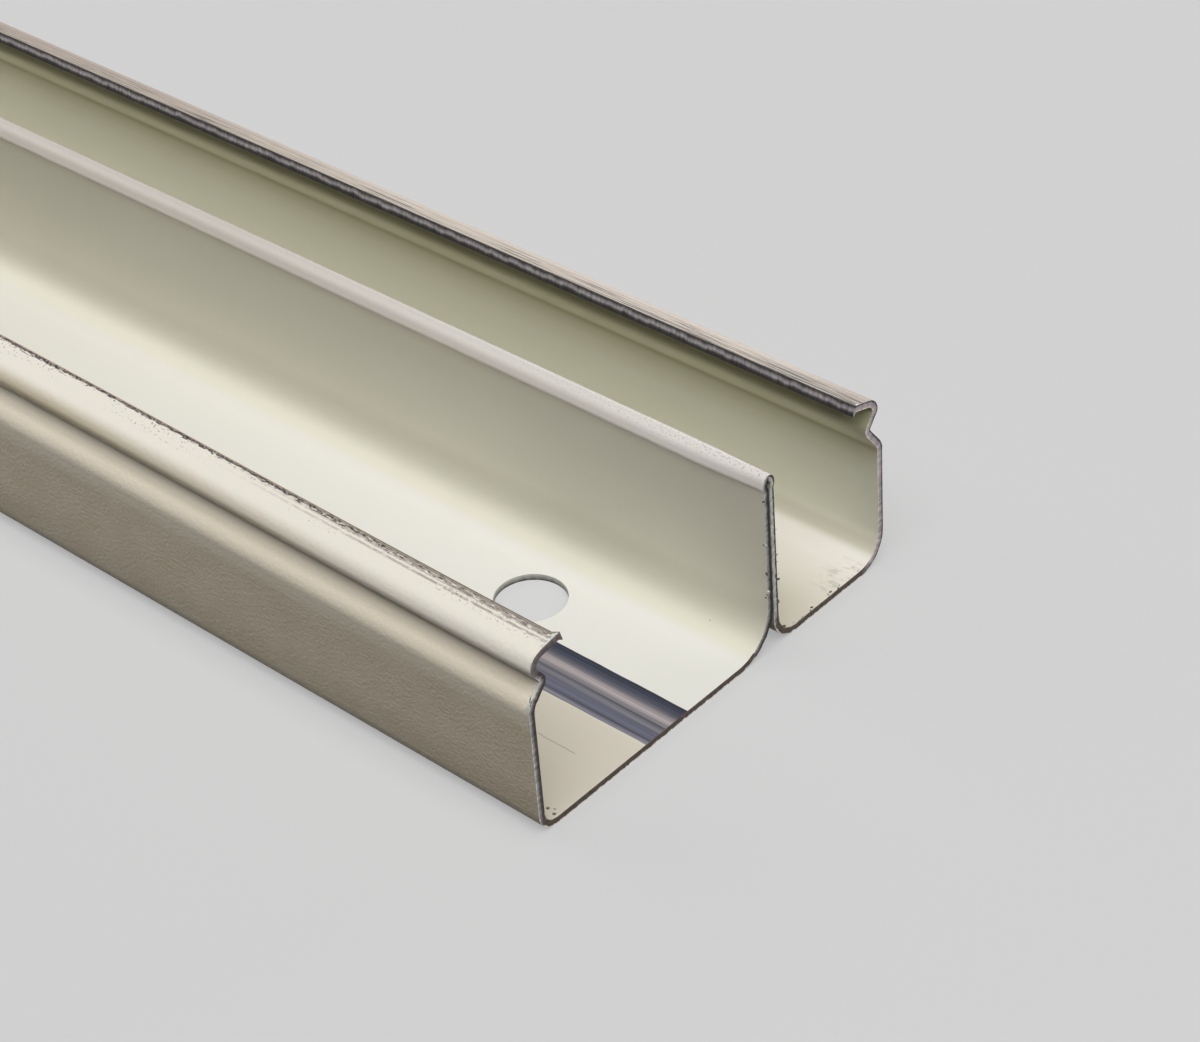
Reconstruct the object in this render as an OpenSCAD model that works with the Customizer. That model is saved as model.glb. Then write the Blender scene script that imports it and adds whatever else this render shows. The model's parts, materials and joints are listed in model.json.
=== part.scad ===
// Base of a two-compartment cable raceway, roll-formed from one strip of painted sheet steel.
// X runs along the length, Y from the wide compartment to the narrow one, Z up from the mounting face.
// The origin is on the mounting face, midway along the length and across the width.

/* [Stock] */
// Length of the piece
length = 1524; // [300:1:3048]
// Thickness of the sheet
sheet_t = 0.7; // [0.6:0.02:0.9]
// Width across the outer walls
width = 47.6; // [46:0.1:60]
// Height from the mounting face to the top of the lips
height = 19.8; // [15:0.1:30]

/* [Compartments] */
// Clear width of the wide compartment, from its outer wall to the divider
wide_bay = 30; // [22:0.1:32]
// Drop of the divider's crown below the top of the lips
divider_drop = 0.4; // [0:0.1:4]
// Gap left between the two leaves of the folded divider
fold_gap = 0.1; // [0.06:0.02:0.4]
// Inside radius of the bends where the two leaves spread below the divider's crown
neck_r = 0.25; // [0.15:0.05:0.8]

/* [Bends, as inside radii] */
// Outer corner of the wide compartment
wide_corner_r = 1.4; // [0.5:0.1:4]
// Foot of the divider in the wide compartment
wide_foot_r = 4.2; // [0.5:0.1:5]
// Foot of the divider in the narrow compartment
narrow_foot_r = 2.3; // [0.5:0.1:4]
// Outer corner of the narrow compartment
narrow_corner_r = 2.9; // [0.5:0.1:4]

/* [Rim that takes the cover, to its sharp corners] */
// Reach of the lip, from the outer face of the wall to the free edge
lip_reach = 4; // [3.2:0.1:6]
// Inside radius of the lip's corner
lip_corner_r = 0.8; // [0.2:0.1:0.9]
// Inset of the bead's lower edge from the face of the wall
bead_inset = 0.6; // [0.3:0.05:0.8]
// Height of the bead's leaning face
bead_h = 1; // [1:0.1:3]
// Inside radius of the bead's lower edge
bead_r = 0.2; // [0.1:0.05:0.3]
// Depth of the groove below the face of the wall
groove_depth = 1.9; // [1.7:0.05:2.4]
// Inside radius of the groove
groove_r = 0.3; // [0.2:0.1:0.5]
// Inside radius of the shoulder, where the groove turns down into the wall
shoulder_r = 1.3; // [0.2:0.1:1.6]

/* [Screw holes] */
// Diameter of a screw hole
hole_d = 7.1; // [4:0.1:7.4]
// Number of screw holes along the length
hole_count = 6; // [2:1:12]
// Distance from each end to the nearest hole's centre
hole_end = 22; // [8:0.5:60]
// Distance from the divider to the line of holes
hole_to_divider = 8.2; // [7.9:0.1:16]

/* [Hidden] */
$fn = 96;

half_t = sheet_t / 2;
narrow_bay = width - wide_bay - 4 * sheet_t - fold_gap;
start_y = sheet_t + wide_bay / 2;

// The divider's leaves run up to a neck, where they spread 3 in 4 into a crown wider than the two of them
neck_slope = atan2(3, 4);
leaf_mid = half_t + fold_gap / 2;
crown_mid = (leaf_mid + (neck_r + half_t) * (1 - cos(neck_slope))) / cos(neck_slope);
crown_r = crown_mid - half_t;
neck_z = height - divider_drop - crown_mid - half_t - (crown_mid + neck_r + half_t) * sin(neck_slope);

// The rim is set out on the sheet's middle line, with whole-number slopes:
// the lip climbs 7 in 24, the bead leans 44 in 117 and the groove's upper flank 3 in 4,
// and its lower flank leans 4 in 3 on the wide side but only 3 in 4 on the narrow side
lip_slope = atan2(7, 24);
bead_slope = atan2(44, 117);
flank_slope = atan2(3, 4);
wide_shoulder_slope = atan2(4, 3);
narrow_shoulder_slope = atan2(3, 4);
flank_run = groove_depth - bead_inset;
lip_run = lip_reach - half_t - bead_inset - bead_h * tan(bead_slope);
lip_z = height - half_t * cos(lip_slope) - lip_run * tan(lip_slope);
groove_z = lip_z - bead_h - flank_run / tan(flank_slope);

// Length of sheet that a bend takes off each of the straight runs beside it
function setback(turn, inside_r) = (inside_r + half_t) * tan(turn / 2);
lip_setback = setback(90 - lip_slope - bead_slope, lip_corner_r);
bead_setback = setback(bead_slope + flank_slope, bead_r);
function groove_setback(shoulder_slope) = setback(flank_slope + shoulder_slope, groove_r);
function shoulder_setback(shoulder_slope) = setback(shoulder_slope, shoulder_r);
function shoulder_z(shoulder_slope) = groove_z - groove_depth / tan(shoulder_slope);

// Each step is a straight run, then the turn after it and that bend's inside radius; inward is positive
function wall_steps(corner_r, shoulder_slope) = [
    [shoulder_z(shoulder_slope) - shoulder_setback(shoulder_slope) - sheet_t - corner_r,
        shoulder_slope, shoulder_r],
    [groove_depth / sin(shoulder_slope) - shoulder_setback(shoulder_slope) - groove_setback(shoulder_slope),
        -shoulder_slope - flank_slope, groove_r],
    [flank_run / sin(flank_slope) - groove_setback(shoulder_slope) - bead_setback,
        flank_slope + bead_slope, bead_r],
    [bead_h / cos(bead_slope) - bead_setback - lip_setback, 90 - bead_slope - lip_slope, lip_corner_r],
    [lip_run / cos(lip_slope) - lip_setback, 0, 0],
];
wide_steps = concat(
    [[wide_bay / 2 - wide_corner_r, 90, wide_corner_r]],
    wall_steps(wide_corner_r, wide_shoulder_slope)
);
narrow_steps = concat(
    [
        [wide_bay / 2 - wide_foot_r, 90, wide_foot_r],
        [neck_z - sheet_t - wide_foot_r, neck_slope, neck_r],
        [0, -90 - neck_slope, crown_r],
        [0, -90 - neck_slope, crown_r],
        [0, neck_slope, neck_r],
        [neck_z - sheet_t - narrow_foot_r, 90, narrow_foot_r],
        [narrow_bay - narrow_foot_r - narrow_corner_r, 90, narrow_corner_r],
    ],
    wall_steps(narrow_corner_r, narrow_shoulder_slope)
);

hole_spacing = (length - 2 * hole_end) / (hole_count - 1);
hole_y = sheet_t + wide_bay - hole_to_divider - width / 2;
cut_clearance = 1;

// Slice of a ring, from straight below or above the bend's centre round to the end of the turn
module bend(turn, inside_r) {
    outer_r = inside_r + sheet_t;
    reach = outer_r + cut_clearance;
    intersection() {
        difference() {
            circle(r = outer_r);
            circle(r = inside_r);
        }
        translate([0, -reach]) square([reach, 2 * reach]);
        rotate(turn) translate([-reach, -reach]) square([reach, 2 * reach]);
    }
}

// Strip of sheet that follows the steps from the left, each one starting where the last one ended
module strip(steps, i = 0) {
    run = steps[i][0];
    turn = steps[i][1];
    inside_r = steps[i][2];
    centre_y = turn > 0 ? sheet_t + inside_r : -inside_r;
    if (run > 0) square([run, sheet_t]);
    if (turn != 0) translate([run, centre_y]) {
        bend(turn, inside_r);
        rotate(turn) translate([0, -centre_y]) strip(steps, i + 1);
    }
}

module section() {
    translate([start_y - width / 2, 0]) {
        strip(narrow_steps);
        mirror([1, 0]) strip(wide_steps);
    }
}

module screw_holes() {
    for (i = [0 : hole_count - 1])
        translate([hole_end - length / 2 + i * hole_spacing, hole_y, -cut_clearance])
            cylinder(d = hole_d, h = sheet_t + 2 * cut_clearance);
}

module raceway_base() {
    color([0.90, 0.87, 0.79]) difference() {
        rotate([90, 0, 90]) linear_extrude(length, center = true) section();
        screw_holes();
    }
}

raceway_base();
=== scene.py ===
# %% [markdown]
# # A two-compartment cable raceway base
# The object is a length of steel surface raceway. It starts as a flat painted strip, which is punched,
# rolled into a channel with a folded divider and two in-turned lips, and sawn to length.
# This lesson works in much the same way. It sets out the section, mixes the paint, the bare stripe, the wear
# and some painted shade and highlights for the flat strip, and then rolls, punches and cuts it.

# %% Load the imported part
import json
import math

import bpy
from mathutils import Matrix, Vector


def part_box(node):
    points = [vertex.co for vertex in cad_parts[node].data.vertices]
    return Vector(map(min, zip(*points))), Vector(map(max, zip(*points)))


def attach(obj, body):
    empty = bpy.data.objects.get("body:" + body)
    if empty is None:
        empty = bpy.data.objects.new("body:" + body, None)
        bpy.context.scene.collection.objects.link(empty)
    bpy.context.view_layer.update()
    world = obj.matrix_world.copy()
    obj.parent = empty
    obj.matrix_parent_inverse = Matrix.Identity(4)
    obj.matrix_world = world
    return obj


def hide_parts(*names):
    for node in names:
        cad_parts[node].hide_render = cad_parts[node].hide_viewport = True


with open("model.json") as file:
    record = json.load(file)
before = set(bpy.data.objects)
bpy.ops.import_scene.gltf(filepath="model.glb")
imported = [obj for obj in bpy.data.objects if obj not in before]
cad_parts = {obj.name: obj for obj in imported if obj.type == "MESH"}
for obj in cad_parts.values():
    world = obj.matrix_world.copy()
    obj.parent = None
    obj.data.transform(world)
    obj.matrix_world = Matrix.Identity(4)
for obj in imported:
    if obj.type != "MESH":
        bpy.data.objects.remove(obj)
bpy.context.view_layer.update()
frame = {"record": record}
MM = 0.001

# %% [markdown]
# ## The section as a path of runs and bends
# A roll former bends the strip a little at each stand, so its section is a chain of straight runs and
# round bends. It could be drawn point by point, but then nothing in it would say how it is made. Here it is
# a list of steps, each a straight run, the turn after it and that bend's inside radius, with the sizes of
# the real sheet. Length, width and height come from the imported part.

# %% Sizes of the strip and its bends
part_low, part_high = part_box("raceway_base")
length, width, height = part_high - part_low
sheet_t = 0.7 * MM
half_t = sheet_t / 2
wide_bay = 30 * MM
divider_drop = 0.4 * MM
fold_gap, neck_r = 0.1 * MM, 0.25 * MM
narrow_bay = width - wide_bay - 4 * sheet_t - fold_gap
wide_corner_r, wide_foot_r = 1.4 * MM, 4.2 * MM
narrow_foot_r, narrow_corner_r = 2.3 * MM, 2.9 * MM
lip_reach, lip_corner_r = 4 * MM, 0.8 * MM
bead_inset, bead_h, bead_r = 0.6 * MM, 1 * MM, 0.2 * MM
groove_depth, groove_r = 1.9 * MM, 0.3 * MM
shoulder_r = 1.3 * MM
lip_slope, bead_slope, flank_slope = math.atan2(7, 24), math.atan2(44, 117), math.atan2(3, 4)
wide_shoulder_slope, narrow_shoulder_slope = math.atan2(4, 3), math.atan2(3, 4)
neck_slope = math.atan2(3, 4)
quarter = math.pi / 2
print("bays in mm:", round(wide_bay / MM, 2), "wide and", round(narrow_bay / MM, 2), "narrow")

# %% Heights worked out from the sizes
leaf_mid = half_t + fold_gap / 2
crown_mid = (leaf_mid + (neck_r + half_t) * (1 - math.cos(neck_slope))) / math.cos(neck_slope)
crown_r = crown_mid - half_t
neck_z = height - divider_drop - crown_mid - half_t - (crown_mid + neck_r + half_t) * math.sin(neck_slope)
flank_run = groove_depth - bead_inset
lip_run = lip_reach - half_t - bead_inset - bead_h * math.tan(bead_slope)
lip_z = height - half_t * math.cos(lip_slope) - lip_run * math.tan(lip_slope)
groove_z = lip_z - bead_h - flank_run / math.tan(flank_slope)
print("heights in mm: groove", round(groove_z / MM, 2), "and divider's neck", round(neck_z / MM, 2))


# %% Steps of the section
def setback(turn, inside_r):
    """Length of sheet that a bend takes off each of the runs beside it."""
    return (inside_r + half_t) * math.tan(turn / 2)


def wall_steps(corner_r, slope):
    """An outer wall from its corner up: shoulder, groove, bead and lip."""
    shoulder_cut = setback(slope, shoulder_r)
    groove_cut = setback(slope + flank_slope, groove_r)
    bead_cut = setback(flank_slope + bead_slope, bead_r)
    lip_cut = setback(quarter - bead_slope - lip_slope, lip_corner_r)
    shoulder_z = groove_z - groove_depth / math.tan(slope)
    return [
        (shoulder_z - shoulder_cut - sheet_t - corner_r, slope, shoulder_r),
        (groove_depth / math.sin(slope) - shoulder_cut - groove_cut, -slope - flank_slope, groove_r),
        (flank_run / math.sin(flank_slope) - groove_cut - bead_cut, flank_slope + bead_slope, bead_r),
        (bead_h / math.cos(bead_slope) - bead_cut - lip_cut, quarter - bead_slope - lip_slope, lip_corner_r),
        (lip_run / math.cos(lip_slope) - lip_cut, 0, 0),
    ]


wide_steps = [
    (wide_bay / 2 - wide_corner_r, quarter, wide_corner_r),
] + wall_steps(wide_corner_r, wide_shoulder_slope)
narrow_steps = [
    (wide_bay / 2 - wide_foot_r, quarter, wide_foot_r),
    (neck_z - sheet_t - wide_foot_r, neck_slope, neck_r),
    (0, -quarter - neck_slope, crown_r),
    (0, -quarter - neck_slope, crown_r),
    (0, neck_slope, neck_r),
    (neck_z - sheet_t - narrow_foot_r, quarter, narrow_foot_r),
    (narrow_bay - narrow_foot_r - narrow_corner_r, quarter, narrow_corner_r),
] + wall_steps(narrow_corner_r, narrow_shoulder_slope)
print(len(wide_steps), "steps to the near lip,", len(narrow_steps), "to the far one")

# %% [markdown]
# ## Stations along the section
# Following the steps gives stations: a point on the outer face, the direction from there to the inner face,
# and the distance across the flat strip. Bends get a station every few degrees. Each run also gets one
# close to either end, so that smooth shading stays inside the bend and the flats stay flat.

# %% Follow the steps
BEND_STEP = math.radians(7.5)
GUARD = 0.3 * MM


def follow(steps):
    """Stations from the first step's start, heading along +Y with the inner face above."""
    place, heading, across = Vector((0, 0)), 0.0, 0.0
    stations = []
    for run, turn, inside_r in steps:
        along = Vector((math.cos(heading), math.sin(heading)))
        side = Vector((-along.y, along.x))
        guard = min(GUARD, run / 3)
        stops = [0, guard, run - guard] if run else []
        stops += [] if turn else [run]
        stations += [(place + along * stop, side, across + stop) for stop in stops]
        place = place + along * run
        across += run
        centre = place + side * (sheet_t + inside_r if turn > 0 else -inside_r)
        arm, bend_length = place - centre, (inside_r + half_t) * abs(turn)
        bend_count = math.ceil(abs(turn) / BEND_STEP)
        for i in range(bend_count):
            spin = Matrix.Rotation(turn * i / bend_count, 2)
            stations.append((centre + spin @ arm, spin @ side, across + bend_length * i / bend_count))
        place = centre + Matrix.Rotation(turn, 2) @ arm
        heading += turn
        across += bend_length
    return stations


middle_y = part_low.y + sheet_t + wide_bay / 2
to_narrow, to_wide = follow(narrow_steps), follow(wide_steps)
near_half = to_wide[-1][2]
stations = [((middle_y - p.x, p.y), (-s.x, s.y), near_half - a) for p, s, a in reversed(to_wide)]
stations += [((middle_y + p.x, p.y), (s.x, s.y), near_half + a) for p, s, a in to_narrow[1:]]
strip_width = stations[-1][2]
print(len(stations), "stations across a strip", round(strip_width / MM, 1), "mm wide")

# %% [markdown]
# ## What rolling, slitting and sawing do to the shape
# Slitting leaves a burr under both lips, and the rolls press the crown flat on one side and let the near
# shoulder sag. A rolled channel springs open where it is cut, so its near wall stands upright at the ends
# and leans in a little further back. The saw squeezes the divider's crown, tears off paint and bends out
# the tip of the near lip. The first marks run the whole length, so they move the stations themselves.
# The others change towards the ends, so they are kept as shares per station, from which the tree below
# works out small shifts and the number of chips.

# %% Slit burr, pressed crown and sagging shoulder
SLIT_BURR = 1.6
for last in (0, -1):
    point, (side_y, side_z), across = stations[last]
    stations[last] = (point, (side_y * SLIT_BURR, side_z * SLIT_BURR), across)

# The crown's near side is pressed into a flat that ends in a low ridge, by angles from straight up
divider_y = part_low.y + 2 * sheet_t + wide_bay + fold_gap / 2
divider_reach = 1.5 * MM
crown_z = height - divider_drop - crown_r - sheet_t
flat_from, ridge_at, flat_to = (math.radians(a) for a in (72, 97, 127))
ridge_reach = 1 / math.cos(ridge_at - flat_from)
for i, ((y, z), (side_y, side_z), across) in enumerate(stations):
    if abs(y - divider_y) > divider_reach or z < neck_z:
        continue
    out_y, out_z = y + side_y * sheet_t - divider_y, z + side_z * sheet_t - crown_z
    turned = math.atan2(-out_y, out_z)
    if flat_from < turned < ridge_at:
        reach = 1 / math.cos(turned - flat_from)
    elif ridge_at <= turned < flat_to:
        reach = 1 + (ridge_reach - 1) * (flat_to - turned) / (flat_to - ridge_at)
    else:
        continue
    out_y, out_z = divider_y + out_y * reach, crown_z + out_z * reach
    stations[i] = ((y, z), ((out_y - y) / sheet_t, (out_z - z) / sheet_t), across)

# The near shoulder sags, so that its bright band sits lower on the wall
SHOULDER_SAG = 0.35 * MM
sag_from, sag_to = 6.2 * MM, 10.2 * MM
sag_start, sag_end = 0.9 * MM, 1.5 * MM
for i, ((y, z), side, across) in enumerate(stations):
    share = max(0, min(1, (across - sag_from) / sag_start, (sag_to - across) / sag_end))
    stations[i] = ((y, z - SHOULDER_SAG * share), side, across)
print("shoulder sags", round(SHOULDER_SAG / MM, 2), "mm")

# %% Shares of lean, squeeze, bent tip and chips at each station
EAR_REACH = 1.2 * MM
squeeze_from, squeeze_rise = neck_z - 1.5 * MM, 2.1 * MM
chips_on_divider, chips_on_far_floor = 0.1, 0.2
shares = {"lean": [], "squeeze": [], "ear": [], "chips": []}
for (y, z), _, across in stations:
    on_near_wall = y < part_low.y + lip_reach + sheet_t
    on_divider = abs(y - divider_y) < divider_reach
    on_far_floor = z < 2 * sheet_t and y > divider_y + narrow_foot_r
    shares["lean"].append((max(0, z - wide_corner_r) / height) ** 2 if on_near_wall else 0)
    shares["squeeze"].append(min(1, max(0, z - squeeze_from) / squeeze_rise) if on_divider else 0)
    shares["ear"].append(max(0, 1 - across / EAR_REACH))
    shares["chips"].append(chips_on_divider if on_divider else chips_on_far_floor if on_far_floor else 0)
print("stations on the leaning wall:", sum(share > 0 for share in shares["lean"]))

# %% [markdown]
# ## One helper for node trees
# Geometry Nodes and shaders are both built by adding nodes and linking them. One function does it for both:
# it adds a node, gives it its settings, and fills each input with a value or a link to what feeds it.


# %% Node helper
def linear(hex_code):
    """An sRGB hex colour as the linear colour that shaders take."""
    channels = [int(hex_code[i:i + 2], 16) / 255 for i in (1, 3, 5)]
    return (*(c / 12.92 if c <= 0.04045 else ((c + 0.055) / 1.055) ** 2.4 for c in channels), 1.0)


def fill(tree, node, inputs):
    """Sets or links a node's inputs. An input given as a node takes that node's first live output."""
    for name, value in inputs.items():
        if isinstance(value, bpy.types.Node):
            value = next(out for out in value.outputs if out.enabled)
        if isinstance(value, bpy.types.NodeSocket):
            tree.links.new(value, node.inputs[name])
        else:
            node.inputs[name].default_value = value


def add(tree, kind, inputs=(), stops=(), **settings):
    """Adds a node with its settings, fills its inputs, and puts the stops on its colour ramp."""
    node = tree.nodes.new(kind)
    for name, value in settings.items():
        setattr(node, name, value)
    for i, (place, hex_code) in enumerate(stops):
        stop = node.color_ramp.elements[i] if i < 2 else node.color_ramp.elements.new(place)
        stop.position = place
        stop.color = linear(hex_code)
    fill(tree, node, dict(inputs))
    return node


def new_material(name):
    """A material with its node tree and its one Principled shader."""
    material = bpy.data.materials.new(name)
    material.use_nodes = True
    tree = material.node_tree
    return material, tree, tree.nodes["Principled BSDF"]


print("mid grey as linear light:", round(linear("#808080")[0], 3))

# %% [markdown]
# ## Where paint, stripe and wear lie
# Paint went onto the flat strip before it was rolled, so every mark is placed in millimetres on the strip
# map: how far back from the photographed end, and how far across from the near slit edge. The near lip is
# at the start of the map and the far lip at its end, with the stripe and the divider's crown between them.
# Painting by position in space would need a new rule for each bend; on the strip each mark is a simple band.

# %% Places on the strip, in mm
length_mm, strip_mm, floor_mm = length / MM, strip_width / MM, near_half / MM
stripe_low, stripe_high = floor_mm - 2.12, floor_mm + 3.55
crown_mm = floor_mm + sum(run + (r + half_t) * abs(turn) for run, turn, r in narrow_steps[:3]) / MM
print("stripe", round(stripe_low, 1), "to", round(stripe_high, 1), "mm across, crown at", round(crown_mm, 1))

# %% Ways to lay marks on the strip
SEED_STEP = (7.3, 3.1, 0)


def strip_place(tree):
    """The place on the strip map in mm, its two parts, and the distance to the nearer end."""
    place = add(tree, "ShaderNodeVectorMath",
                {0: add(tree, "ShaderNodeUVMap", uv_map="strip"), "Scale": 1 / MM}, operation="SCALE")
    back, across, _ = add(tree, "ShaderNodeSeparateXYZ", {0: place}).outputs
    from_middle = add(tree, "ShaderNodeMath", {0: back, 1: length_mm / 2}, operation="SUBTRACT")
    from_middle = add(tree, "ShaderNodeMath", {0: from_middle}, operation="ABSOLUTE")
    from_end = add(tree, "ShaderNodeMath", {0: length_mm / 2, 1: from_middle}, operation="SUBTRACT")
    return place, back, across, from_end


def grain(tree, place, along, across, seed, detail=2.0):
    """Noise around 0.5 whose grains have the given sizes in mm along and across the strip."""
    stretched = add(tree, "ShaderNodeVectorMath",
                    {0: place, 1: (1 / along, 1 / across, 1), 2: tuple(step * seed for step in SEED_STEP)},
                    operation="MULTIPLY_ADD")
    return add(tree, "ShaderNodeTexNoise",
               {"Vector": stretched, "Scale": 1.0, "Detail": detail, "Roughness": 0.6}, noise_dimensions="2D")


def above(tree, value, level, soft):
    """0 below the level and 1 above it, with a soft step between."""
    return add(tree, "ShaderNodeMapRange",
               {"Value": value, "From Min": level - soft, "From Max": level + soft},
               interpolation_type="SMOOTHSTEP")


def between(tree, value, low, high, soft):
    """1 from low to high and 0 outside, with soft edges."""
    over_low, over_high = above(tree, value, low, soft), above(tree, value, high, soft)
    return add(tree, "ShaderNodeMath", {0: over_low, 1: over_high}, operation="SUBTRACT")


def product(tree, first, *others):
    """All the masks multiplied together."""
    result = first
    for mask in others:
        result = add(tree, "ShaderNodeMath", {0: result, 1: mask}, operation="MULTIPLY")
    return result


def coat(tree, under, over, *masks):
    """One colour laid over another where all the masks are 1. Either may be given as a hex code."""
    under, over = (linear(colour) if isinstance(colour, str) else colour for colour in (under, over))
    return add(tree, "ShaderNodeMix", {0: product(tree, *masks), 6: under, 7: over}, data_type="RGBA")


print("marks lie on a strip of", round(length_mm), "by", round(strip_mm, 1), "mm")

# %% [markdown]
# ## Satin ivory paint on the inside, with the bare stripe
# The inside is smooth and satin, a cream with a hint of green. Along the wide floor a stripe was left
# unpainted, and its zinc shows blue-grey bands, a painted reflection of the divider. On the crown the paint
# is rubbed to a dull lilac white and brightened further by a painted highlight, with grey specks near the
# ends. Painted shade also darkens the paint under the far lip, beside the near wall, at the divider's foot
# and further back from the end.
# Each mark could be a material of its own on faces cut to its outline, but real marks have soft and ragged
# edges, so here one material lays them over each other like coats of paint.

# %% Inside paint: the coat with its painted shade and light, from the near floor to the far wall
paint_in, tree, shader = new_material("ivory_paint_satin")
place, back, across, from_end = strip_place(tree)
cloud = grain(tree, place, 40, 12, 1)
colour = add(tree, "ShaderNodeValToRGB", {0: cloud}, stops=[(0.3, "#E4E1D0"), (0.7, "#E8E5D5")])
# Painted shade: the wide floor and the divider darken further back from the photographed end
further = add(tree, "ShaderNodeMapRange", {"Value": from_end, "From Min": 30, "From Max": 140})
floor_paint_and_shade = coat(tree, "#E9E8E1", "#E2DFD4", further)
colour = coat(tree, colour, floor_paint_and_shade, between(tree, across, floor_mm - 1, floor_mm + 12.2, 0.7))
# Painted shade on the bend at the divider's foot
colour = coat(tree, colour, "#D4D1C0", between(tree, across, floor_mm + 14.4, floor_mm + 17.8, 1.3))
on_divider = between(tree, across, floor_mm + 18, crown_mm, 1.3)
colour = coat(tree, colour, "#CBC7B5", on_divider, further, 0.5)
# Painted shade on the wide floor beside the near wall, where the wall blocks the light
colour = coat(tree, colour, "#DBD4C5", between(tree, across, floor_mm - 15, floor_mm - 2.1, 0.6))

# The narrow floor has painted shade by the divider and painted light towards the far corner, where a painted
# shade darkens the crease and the coat then turns into the far wall's
narrow_share = add(tree, "ShaderNodeMapRange",
                   {"Value": across, "From Min": crown_mm + 20, "From Max": crown_mm + 30})
narrow_floor_light_and_shade = add(tree, "ShaderNodeValToRGB", {0: narrow_share}, stops=[
    (0, "#DBD4C4"), (0.3, "#E0D9CA"), (0.7, "#EEE9DC"), (1, "#F7F2EA")])
colour = coat(tree, colour, "#E5E5D3", above(tree, across, crown_mm + 33, 1))
colour = coat(tree, colour, "#D6D2C1", between(tree, across, crown_mm + 32.5, crown_mm + 34.2, 0.6))
colour = coat(tree, colour, narrow_floor_light_and_shade, between(tree, across, crown_mm + 19, crown_mm + 32.3, 0.6))
smear = above(tree, grain(tree, place, 1.2, 0.5, 9, 4.0), 0.58, 0.12)
by_cut = between(tree, from_end, -1, 2.5, 1.5)
by_far_corner = between(tree, across, crown_mm + 26, crown_mm + 31, 1)
colour = coat(tree, colour, "#8F8778", smear, by_cut, by_far_corner, 0.4)
print("inside paint, coat:", len(tree.nodes), "nodes")

# %% Inside paint: painted shade under the far lip, and the rubbed crown with its painted highlight
# Painted shade under the far lip and in the crease below its groove, with the ridge between left pale, in
# shades of the strip's last 4 to 14 mm
to_far = add(tree, "ShaderNodeMath", {0: strip_mm, 1: across}, operation="SUBTRACT")
lip_and_ridge_shade = add(tree, "ShaderNodeMapRange", {"Value": to_far, "From Min": 4, "From Max": 14})
lip_and_ridge_shade = add(tree, "ShaderNodeValToRGB", {0: lip_and_ridge_shade}, stops=[
    (0.04, "#BDBCA6"), (0.14, "#BDBCA6"), (0.19, "#DDDCCE"), (0.26, "#EDECE2"), (0.46, "#EDECE2"),
    (0.52, "#C6C4AC"), (0.58, "#E6E5DA"), (0.72, "#F8F7F2"), (0.9, "#FFFFFF")])
colour = add(tree, "ShaderNodeMix", {0: 1.0, 6: colour, 7: lip_and_ridge_shade}, data_type="RGBA", blend_type="MULTIPLY")

# Rubbed crown: dull lilac white, brightened by a painted highlight and fading into the leaf on either side,
# with a painted shade line along its lower edge and specks where it was handled
rub_and_highlight_band = between(tree, across, crown_mm - 1.75, crown_mm + 1.75, 0.12)
rubbed_and_highlit = add(tree, "ShaderNodeMapRange",
             {"Value": across, "From Min": crown_mm - 1.8, "From Max": crown_mm + 0.2})
rubbed_and_highlit = add(tree, "ShaderNodeValToRGB", {0: rubbed_and_highlit}, stops=[
    (0.0, "#8E8A7E"), (0.08, "#F2ECE4"), (0.4, "#EDE6DE"), (0.6, "#D6CFC6"), (1.0, "#CFC8C0")])
toward_end = add(tree, "ShaderNodeMapRange",
                 {"Value": from_end, "From Min": 70, "From Max": 5, "To Max": 0.65})
rubbed_and_highlit = coat(tree, rubbed_and_highlit, "#F3EEE9", toward_end)
colour = coat(tree, colour, rubbed_and_highlit, rub_and_highlight_band)
speck = above(tree, grain(tree, place, 0.3, 0.16, 2, 4.0), 0.6, 0.05)
top_side = between(tree, across, crown_mm - 0.5, crown_mm + 1.2, 0.5)
handled = add(tree, "ShaderNodeMapRange",
              {"Value": from_end, "From Min": 4, "From Max": 30, "To Min": 0.55, "To Max": 0.1})
colour = coat(tree, colour, "#8B858A", speck, top_side, handled)
print("inside paint, with dust and crown:", len(tree.nodes), "nodes")

# %% Inside paint: a hairline scratch and a few specks of dirt by the photographed end
wave = add(tree, "ShaderNodeMath", {0: grain(tree, place, 2, 50, 3), 1: 0.25, 2: -0.125},
           operation="MULTIPLY_ADD")
wavy = add(tree, "ShaderNodeMath", {0: across, 1: wave}, operation="ADD")
scratch_length = between(tree, back, 4.2, 8.7, 0.3)
scratch_width = between(tree, wavy, floor_mm - 6.78, floor_mm - 6.66, 0.05)
colour = coat(tree, colour, "#B3AEA0", scratch_length, scratch_width)
dirt_specks = [
    # mm back from the end, mm across from the middle of the wide floor, radius in mm
    (8.3, -3.3, 0.02), (0.6, -8.0, 0.05), (5.8, 14.0, 0.06), (0.5, 53, 0.05),
    (1.4, -13.3, 0.18), (0.9, -13.0, 0.12), (0.5, -13.5, 0.2), (2.1, -13.7, 0.1),
]
for speck_back, speck_across, radius in dirt_specks:
    gap = add(tree, "ShaderNodeVectorMath", {0: place, 1: (speck_back, floor_mm + speck_across, 0)},
              operation="DISTANCE")
    ragged = add(tree, "ShaderNodeMath",
                 {0: grain(tree, place, 0.15, 0.15, 4), 1: 0.25, 2: gap.outputs["Value"]},
                 operation="MULTIPLY_ADD")
    colour = coat(tree, colour, "#5E554A", between(tree, ragged, -1, radius + 0.1, 0.05))
print("specks of dirt:", len(dirt_specks))

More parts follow.
